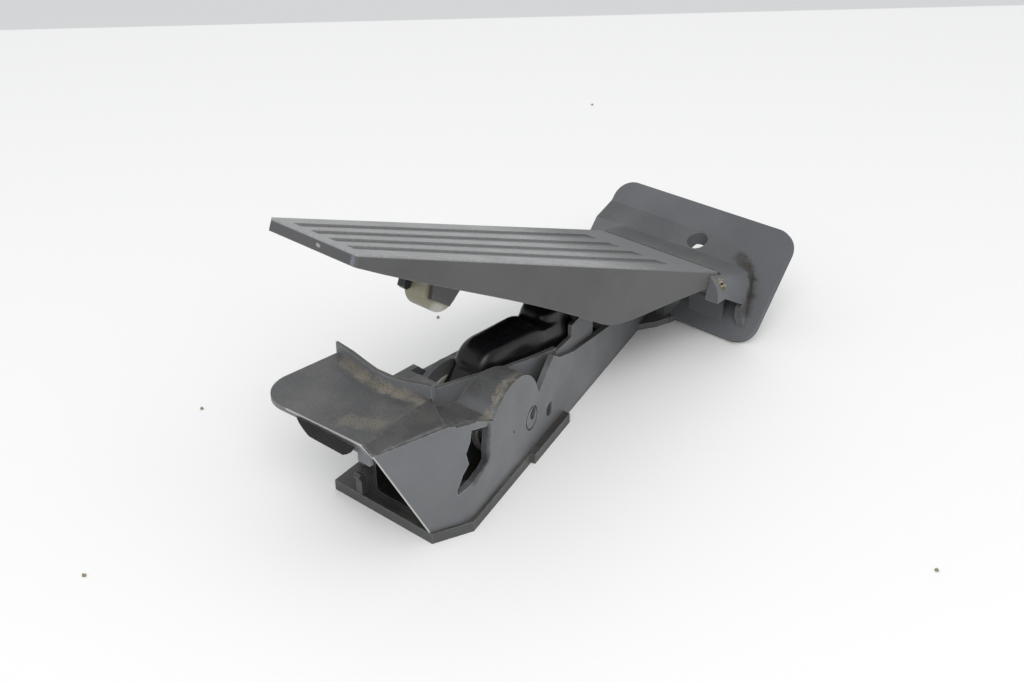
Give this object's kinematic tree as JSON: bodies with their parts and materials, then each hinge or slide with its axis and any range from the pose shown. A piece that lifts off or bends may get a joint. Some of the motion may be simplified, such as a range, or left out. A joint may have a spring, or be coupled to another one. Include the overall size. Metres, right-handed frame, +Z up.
{
  "type": "accelerator pedal",
  "caption": "Floor-hinged accelerator pedal: a long tapered treadle on a heel plate, driving a sprung lever and position sensor in a low housing.",
  "frame": {"origin": "on the floor, under the middle of the treadle's hinge pin", "axes": "+X across the pad, along the hinge pin, from the side with the open housing wall to the far side; +Y from the heel towards the toe; +Z up, square to the floor"},
  "size_m": [0.1025, 0.2612, 0.1208],
  "materials": {
    "base_plastic": "moulded grey, dusty",
    "cover_plastic": "moulded grey, dusty",
    "treadle_plastic": "fine grain, sheen from use",
    "lever_plastic": "smooth, glossy",
    "black_plastic": "moulded",
    "stop_plastic": "milky, slightly translucent",
    "bearing_plastic": "smooth",
    "chip_plastic": "moulded",
    "board_laminate": "varnished",
    "magnet_compound": "moulded",
    "bumper_rubber": "smooth",
    "pin_steel": "drawn bar",
    "spring_steel": "oiled wire",
    "screw_steel": "plated",
    "contact_brass": "plated",
    "bush_bronze": "sintered"
  },
  "bodies": {
    "base": {"base_frame": "base_plastic", "bottom_cover": "cover_plastic", "cover_screws": "screw_steel", "hinge_pin": "pin_steel", "pin_cap": "pin_steel", "lever_shaft": "pin_steel", "shaft_clip": "spring_steel", "thrust_washers": "bearing_plastic", "return_spring_outer": "spring_steel", "return_spring_inner": "spring_steel", "sensor_board": "board_laminate", "sensor_chips": "chip_plastic", "connector_housing": "black_plastic", "contact_pins": "contact_brass", "landing_pad": "bumper_rubber"},
    "treadle_body": {"treadle": "treadle_plastic", "slide_shoe": "bearing_plastic", "stop_block": "stop_plastic", "stop_clip": "black_plastic"},
    "lever_body": {"drive_lever": "lever_plastic", "lever_bush": "bush_bronze", "spring_carrier": "black_plastic", "magnet_ring": "magnet_compound"}
  },
  "joints": [
    {"name": "treadle_hinge", "type": "hinge", "parent": "base", "child": "treadle_body", "pos_m": [0, 0, 0.0335], "axis": [1, 0, 0], "range_deg": [-12.5, 0], "stiffness_Nm_per_rad": 4, "springref_deg": 28.65},
    {"name": "lever_pivot", "type": "hinge", "parent": "base", "child": "lever_body", "pos_m": [0, 0.137, 0.022], "axis": [1, 0, 0], "range_deg": [0, 16.4]}
  ],
  "couplings": [
    {"joint": "lever_pivot", "follows": "treadle_hinge", "ratio": -1.3}
  ]
}
